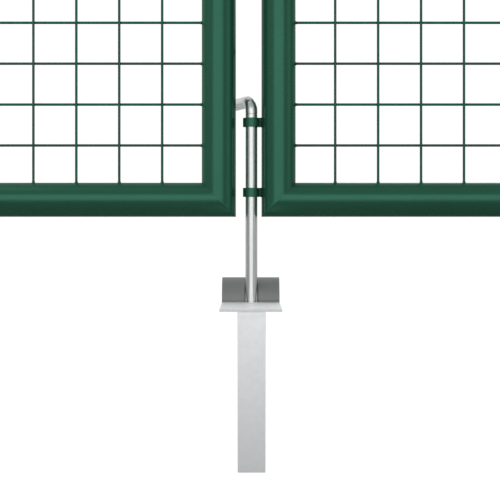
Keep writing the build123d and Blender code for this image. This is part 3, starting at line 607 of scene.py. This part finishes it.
def bent(start, corner, end, bend, first_steps, last_steps):
    """A straight run, a quarter-turn arc and a straight run, where the two runs meet at a
    right angle: on the arc, each run's share is bend times one less the turn's sine or cosine."""
    start, corner, end = (np.asarray(p, float) for p in (start, corner, end))
    back = (start - corner) / np.linalg.norm(start - corner)
    onward = (end - corner) / np.linalg.norm(end - corner)
    turn = np.linspace(0, pi / 2, BEND_STEPS)[1:-1, None]
    arc = corner + bend * ((1 - np.sin(turn)) * back + (1 - np.cos(turn)) * onward)
    first = straight(start, corner + bend * back, first_steps)
    last = straight(corner + bend * onward, end, last_steps)
    return np.concatenate([first, arc, last])


def bar(name, path, radius, level, body, material, chamfers, thread=0.0):
    """A round bar: a circle carried along a path that lies in the plane square to level, with
    a short cone at each end, as long as its chamfer. Over the thread's length the radius
    follows a helix of V shape: depth times how far the fraction of distance over pitch less
    the turn is from a half. The attribute along_bar holds each point as if the bar were
    straight."""
    path = np.concatenate([path[:1], path, path[-1:]])
    path[1] += chamfers[0] * (path[2] - path[1]) / np.linalg.norm(path[2] - path[1])
    path[-2] += chamfers[1] * (path[-3] - path[-2]) / np.linalg.norm(path[-3] - path[-2])
    distance = travelled(path)[:, None]
    turn = np.linspace(0, 2 * pi, BAR_SIDES, endpoint=False)[None, :]
    size = radius + 0 * distance + 0 * turn
    size[0] -= chamfers[0]
    size[-1] -= chamfers[1]
    groove = np.abs(2 * ((distance / THREAD_PITCH - turn / (2 * pi)) % 1) - 1)
    size -= THREAD_DEPTH * groove * ((distance < thread) & (distance > chamfers[0]))
    ahead = np.gradient(path, axis=0)
    ahead /= np.linalg.norm(ahead, axis=1, keepdims=True)
    level = np.asarray(level, float) + 0 * ahead
    out = np.cross(level, ahead)
    ring = np.cos(turn)[..., None] * out[:, None, :] + np.sin(turn)[..., None] * level[:, None, :]
    last = (len(path) - 1) * BAR_SIDES
    faces = [tuple(f) for f in quads(len(path), BAR_SIDES, columns_close=True)[:, ::-1]]
    faces.append(tuple(range(BAR_SIDES)))
    faces.append(tuple(range(last + BAR_SIDES - 1, last - 1, -1)))
    piece = new_object(name, path[:, None, :] + size[..., None] * ring, faces, material)
    unrolled = np.stack([size * np.cos(turn), size * np.sin(turn), 0 * turn + distance], axis=-1)
    attribute = piece.data.attributes.new("along_bar", "FLOAT_VECTOR", "POINT")
    attribute.data.foreach_set("vector", unrolled.reshape(-1))
    piece.data.set_sharp_from_angle(angle=BAR_SHARP)
    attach(piece, body)
    return piece


hinge_x = {
    side: joint["pos_m"][0]
    for side in SIDES
    for joint in frame["joints"]
    if joint["name"] == f"{side}_leaf_swing"
}
hooks_low, hooks_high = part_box("lower_hook_bolts")
top_hooks_low, top_hooks_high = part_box("upper_hook_bolts")
hook_levels = {
    "lower": (hooks_low.z + HOOK_RADIUS, hooks_high.z),
    "upper": (top_hooks_high.z - HOOK_RADIUS, top_hooks_low.z),
}
shoulder_radius = hooks_high.y
for side, way in SIDES.items():
    softened(f"{side}_hinge_eyes", EDGE, moss_green)
    stile, stile_half = middle(f"{side}_hinge_stile")
    low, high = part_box(f"{side}_hinge_eyes")
    spans = ((low.z, low.z + EYE_HEIGHT), (high.z - EYE_HEIGHT, high.z))
    loops = [flat_loop(stile.x, stile_half.x, way, TONGUE_HALF, *span) for span in spans]
    beads(
        f"{side}_hinge_eye_welds", f"{side}_leaf", moss_green, loops, FILLET_RADIUS
    )
    post_x = middle(f"{side}_post")[0].x
    tail_x = way * hooks_high.x
    threaded = 2 * abs(tail_x - post_x) - THREAD_PAST_NUT
    for name, (level, tip) in hook_levels.items():
        pin = hinge_x[side]
        first_steps = round(STEPS_A_PITCH * (abs(tail_x - pin) - HOOK_BEND) / THREAD_PITCH)
        path = bent((tail_x, 0, level), (pin, 0, level), (pin, 0, tip), HOOK_BEND, first_steps, 4)
        hook = bar(
            f"{side}_{name}_hook_bolt", path, HOOK_RADIUS, (0, 1, 0), "root", drawn_zinc,
            (COLLAR_CHAMFER, COLLAR_CHAMFER), threaded,
        )
        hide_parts(f"{name}_hook_bolts")
        up = 1 if tip > level else -1
        shoulder_foot = (pin, 0, level + up * HOOK_BEND)
        shoulder_top = (pin, 0, level + up * (HOOK_BEND + COLLAR_BAND))
        shoulder = straight(shoulder_foot, shoulder_top, 4)
        bar(
            f"{side}_{name}_hook_collar", shoulder, shoulder_radius, (0, 1, 0), "root",
            drawn_zinc, (COLLAR_CHAMFER, COLLAR_CHAMFER),
        )

softened("thrust_washers", EDGE / 2, nylon)
softened("hook_saddles", EDGE, zinc)
softened("hook_nuts", EDGE, zinc)

# ---- bolt guides and handle rest --------------------------------------------------------
# Two rings of thick tube carry the drop bolt. Their necks, and the headed peg that holds the
# handle up, are welded to the right leaf's stile before coating.

GUIDE_NECK_HALF = 0.006
GUIDE_FILLET = 0.0006
SIDE_BEAD = 0.0025              # weld run down each side of a neck
RUN_RIPPLE = 0.0001             # how far the drops of an open weld run swell and shrink

# The weld runs in the corners beside each neck are coated a darker green: painted shade for the corner
# between ring and stile.
painted_shade_moss_green = plain_surface(
    "moss_green_painted_shade_coat", "1F4A3B", "1C4436", 0.4, 0.42, 3.0, 0.014, 20, COAT_EDGE_TINT
)

meeting, meeting_half = middle("right_meeting_stile")
guides = ("lower_bolt_guide", "upper_bolt_guide")
for node in (*guides, "handle_rest"):
    softened(node, EDGE, moss_green)
spans = [(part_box(node)[0].z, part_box(node)[1].z) for node in guides]
loops = [flat_loop(meeting.x, meeting_half.x, -1, GUIDE_NECK_HALF, *span) for span in spans]
beads("bolt_guide_welds", "right_leaf", moss_green, loops, GUIDE_FILLET)

guide_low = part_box(guides[0])[0]
ring_x = middle("drop_bolt_rod")[0].x
ring_edge = ring_x + np.sqrt((ring_x - guide_low.x) ** 2 - GUIDE_NECK_HALF**2)
stile_edge = meeting.x - np.sqrt(meeting_half.x**2 - GUIDE_NECK_HALF**2)
neck_x = (ring_edge + stile_edge) / 2
runs = [
    straight((neck_x, y, low + EDGE), (neck_x, y, high - EDGE), 24)
    for low, high in spans
    for y in (-GUIDE_NECK_HALF, GUIDE_NECK_HALF)
]
# These runs wear the darker green, a painted shade in the corners beside the necks.
beads(
    "bolt_guide_side_welds", "right_leaf", painted_shade_moss_green, runs, SIDE_BEAD,
    False, RUN_RIPPLE,
)

# ---- drop bolt --------------------------------------------------------------------------
# Drawn 14 mm bar, zinc plated, its tip chamfered to find the hole. The bar is bent over at
# the top for a handle, which is a piece of its own here, so that it can turn on the bolt.

TIP_CHAMFER = 0.002
SAWN_CHAMFER = 0.0008
PIVOT_CHAMFER = 0.0003          # where the handle turns on the bolt
PIVOT_GAP = 0.0001
HANDLE_BEND = 0.012
HANDLE_LENGTH = 0.090
HANDLE_BEARING = radians(111)   # from +X, seen from above

rod, rod_half = middle("drop_bolt_rod")
tip = (rod.x, 0, rod.z - rod_half.z)
head = (rod.x, 0, rod.z + rod_half.z - PIVOT_GAP)
drop_bar = bar(
    "drop_bolt_bar", straight(tip, head, 12), rod_half.x, (0, 1, 0), "drop_bolt",
    drawn_zinc, (TIP_CHAMFER, PIVOT_CHAMFER),
)
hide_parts("drop_bolt_rod")

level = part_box("drop_bolt_handle")[1].z - rod_half.x
heading_x, heading_y = cos(HANDLE_BEARING), sin(HANDLE_BEARING)
foot = (rod.x, 0, rod.z + rod_half.z)
corner = (rod.x, 0, level)
grip = (rod.x + HANDLE_LENGTH * heading_x, HANDLE_LENGTH * heading_y, level)
handle = bar(
    "drop_bolt_bent_handle", bent(foot, corner, grip, HANDLE_BEND, 3, 8), rod_half.x,
    (heading_y, -heading_x, 0), "bolt_handle", drawn_zinc, (PIVOT_CHAMFER, SAWN_CHAMFER),
)
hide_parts("drop_bolt_handle")

# ---- ground stop ------------------------------------------------------------------------
# A 3 mm plate on two flat stakes, hot-dip galvanised and still bright. The keeper, half a
# pipe slotted for the bolt, is welded on afterwards and its older zinc has gone dull.

FOOT_BEAD = 0.0017
STAKE_BEAD = 0.0012
STAKE_RIPPLE = 0.00012
BEAD_RISE = 1 / 3               # a weld's centre line stands off the plate by this share of it
SLOT_CLEARANCE = 0.001          # each side of the bolt, in the keeper's slot


def spangled_zinc(name, light, dark, metallic, roughness, spangle_mm):
    """Hot-dip zinc: crystals a few millimetres across that differ a little in tone and gloss."""
    material, tree = new_material(name)
    place = add(tree, "ShaderNodeTexCoord").outputs["Object"]
    crystals = add(tree, "ShaderNodeTexVoronoi", {"Vector": place, "Scale": 1000 / spangle_mm})
    shade = add(tree, "ShaderNodeSeparateColor", {"Color": crystals.outputs["Color"]}).outputs[0]
    tone = add(tree, "ShaderNodeMix", {0: shade, 6: linear(light), 7: linear(dark)}, data_type="RGBA")
    ripple = add(tree, "ShaderNodeTexNoise", {"Vector": place, "Scale": 1000 / 12, "Detail": 2.0})
    relief = add(
        tree, "ShaderNodeBump", {"Height": ripple.outputs["Fac"], "Strength": 1.0, "Distance": 0.00001}
    )
    shader = {
        "Base Color": tone.outputs[2],
        "Metallic": metallic,
        "Roughness": ramp(tree, shade, roughness - 0.02, roughness + 0.02),
        "Normal": relief.outputs[0],
    }
    surface = add(tree, "ShaderNodeBsdfPrincipled", shader)
    add(tree, "ShaderNodeOutputMaterial", {"Surface": surface.outputs[0]})
    return material


# Fresh zinc is near white, and its spangle is small and faint on thin strip. The level plate
# holds the wet longer and has a matt white bloom.
pale_zinc = spangled_zinc("fresh_hot_dip_zinc", "EFF1F3", "EBEEF0", 0.8, 0.32, 5.0)
bloomed_zinc = spangled_zinc("bloomed_hot_dip_zinc", "F8FAFB", "F4F6F7", 0.1, 0.42, 5.0)

# Weathered zinc: dull mid grey, with a soft mottle of oxide.
dull_zinc = plain_surface("dull_hot_dip_zinc", "888C8A", "828684", 0.3, 0.5, 1.5, 0.006, 18)

softened("ground_plate", EDGE, bloomed_zinc)
for node in ("front_stake", "rear_stake"):
    softened(node, EDGE, pale_zinc)
softened("keeper", EDGE, dull_zinc)

plate_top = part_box("ground_plate")[1].z
keeper_low, keeper_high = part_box("keeper")
slot_half = rod_half.x + SLOT_CLEARANCE
foot_z = plate_top + BEAD_RISE * FOOT_BEAD
runs = [
    (keeper_low.x, rod.x - slot_half, keeper_low.y),
    (rod.x + slot_half, keeper_high.x, keeper_low.y),
    (keeper_low.x, keeper_high.x, keeper_high.y),
]
feet = [straight((start, y, foot_z), (end, y, foot_z), 60) for start, end, y in runs]
beads("keeper_welds", "root", dull_zinc, feet, FOOT_BEAD, False, RUN_RIPPLE)

stake_low, stake_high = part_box("front_stake")
rear_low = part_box("rear_stake")[0]
seat_z = -BEAD_RISE * STAKE_BEAD
seats = [
    straight((stake_low.x, y, seat_z), (stake_high.x, y, seat_z), 40)
    for y in (stake_high.y, rear_low.y)
]
beads("stake_welds", "root", pale_zinc, seats, STAKE_BEAD, False, STAKE_RIPPLE)

# ---- lock -------------------------------------------------------------------------------
# A welded box takes the place of a stretch of the left stile and holds the latch, deadbolt
# and cylinder. Powder-coated levers turn on a square spindle over long cover plates.

LOCK_WELD = 0.001
BOX_EDGE = 0.0008
SPRING_WIRE = 0.0012
SPRING_TURNS = 6
SPRING_STEPS = 24               # points for each turn

# Fine-texture black powder coat: even and matt, with a grain of about half a millimetre,
# drawn at 1 mm so that it shows.
black_coat = plain_surface(
    "fine_texture_black_powder_coat", "1D1E20", "17181A", 0.0, 0.42, 1.0, 0.015, 30
)

# Brushed stainless plate: grey with a warm cast. Its grain runs along Z and is finer than a
# tenth of a millimetre; it is drawn 0.6 mm wide so that it shows.
brushed_steel = lined_surface("brushed_stainless_steel", "C9C9C6", "BCBCB9", 0.36, 0.24, 0.6, 30)

# Hard-drawn stainless spring wire: bright and plain.
spring_steel = plain_surface("stainless_spring_wire", "C6C6C3", "B9B9B6", 1.0, 0.25, 1.0, 0.002, 6)

# Nickel plate on pressed steel: bright and slightly yellow.
nickel = plain_surface("nickel_plate", "CFCABF", "C2BCB0", 1.0, 0.22, 2.0, 0.003, 12)

# Turned brass: warm yellow, dulled by handling. Its tool marks are drawn 0.5 mm wide so that
# they show.
turned_brass = lined_surface("turned_brass", "CDA85E", "B89248", 0.36, 0.24, 0.5, 4)

softened("lock_box", BOX_EDGE, moss_green)
softened("forend", EDGE, brushed_steel)
for face in ("front", "back"):
    softened(f"{face}_escutcheon", EDGE / 2, black_coat)
    dress(brushed_steel, f"{face}_escutcheon_screws")
    dress(black_coat, f"{face}_lever")
dress(brushed_steel, "forend_screws")
for node in ("spindle", "follower", "latch_bolt", "deadbolt"):
    softened(node, EDGE, nickel)
softened("lock_cylinder", EDGE / 2, turned_brass)
softened("cylinder_plug", EDGE / 4, turned_brass)

spring_low, spring_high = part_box("latch_spring")
spring_length = spring_high.x - spring_low.x - SPRING_WIRE
spring_radius = (spring_high.z - spring_low.z - SPRING_WIRE) / 2
spring_z = (spring_low.z + spring_high.z) / 2
share = np.linspace(0, 1, SPRING_TURNS * SPRING_STEPS + 1)
turn = 2 * pi * SPRING_TURNS * share
helix = np.stack(
    [
        spring_low.x + SPRING_WIRE / 2 + spring_length * share,
        spring_radius * np.cos(turn),
        spring_z + spring_radius * np.sin(turn),
    ],
    axis=-1,
)
spring = beads(
    "latch_return_spring", "left_leaf", spring_steel, [helix], SPRING_WIRE / 2, False
)
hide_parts("latch_spring")
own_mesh(spring)



def round_tube(centre, radius, turn, level):
    """A level path on an upright tube: x and y go round its centre by the cosine and sine."""
    x = centre.x + radius * np.cos(turn)
    return np.stack([x, radius * np.sin(turn), 0 * turn + level], axis=-1)


lock_low, lock_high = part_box("lock_box")
left_stile, stile_half = middle("left_meeting_stile")
turn = np.linspace(0, 2 * pi, LOOP_STEPS, endpoint=False)
rings = [round_tube(left_stile, stile_half.x, turn, level) for level in (lock_low.z, lock_high.z)]
beads("lock_box_welds", "left_leaf", moss_green, rings, LOCK_WELD)

# ---- strike -----------------------------------------------------------------------------
# A small folded box on the right leaf's stile, with slots for the latch and the deadbolt,
# welded over its top and bottom edges and coated with the leaf.

softened("strike_keep", BOX_EDGE, moss_green)
keep_low, keep_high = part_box("strike_keep")
turn = np.linspace(pi / 2, 3 * pi / 2, 40)
arcs = [round_tube(meeting, meeting_half.x, turn, level) for level in (keep_low.z, keep_high.z)]
beads("strike_keep_welds", "right_leaf", moss_green, arcs, LOCK_WELD, False)

bpy.context.view_layer.update()
low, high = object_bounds()
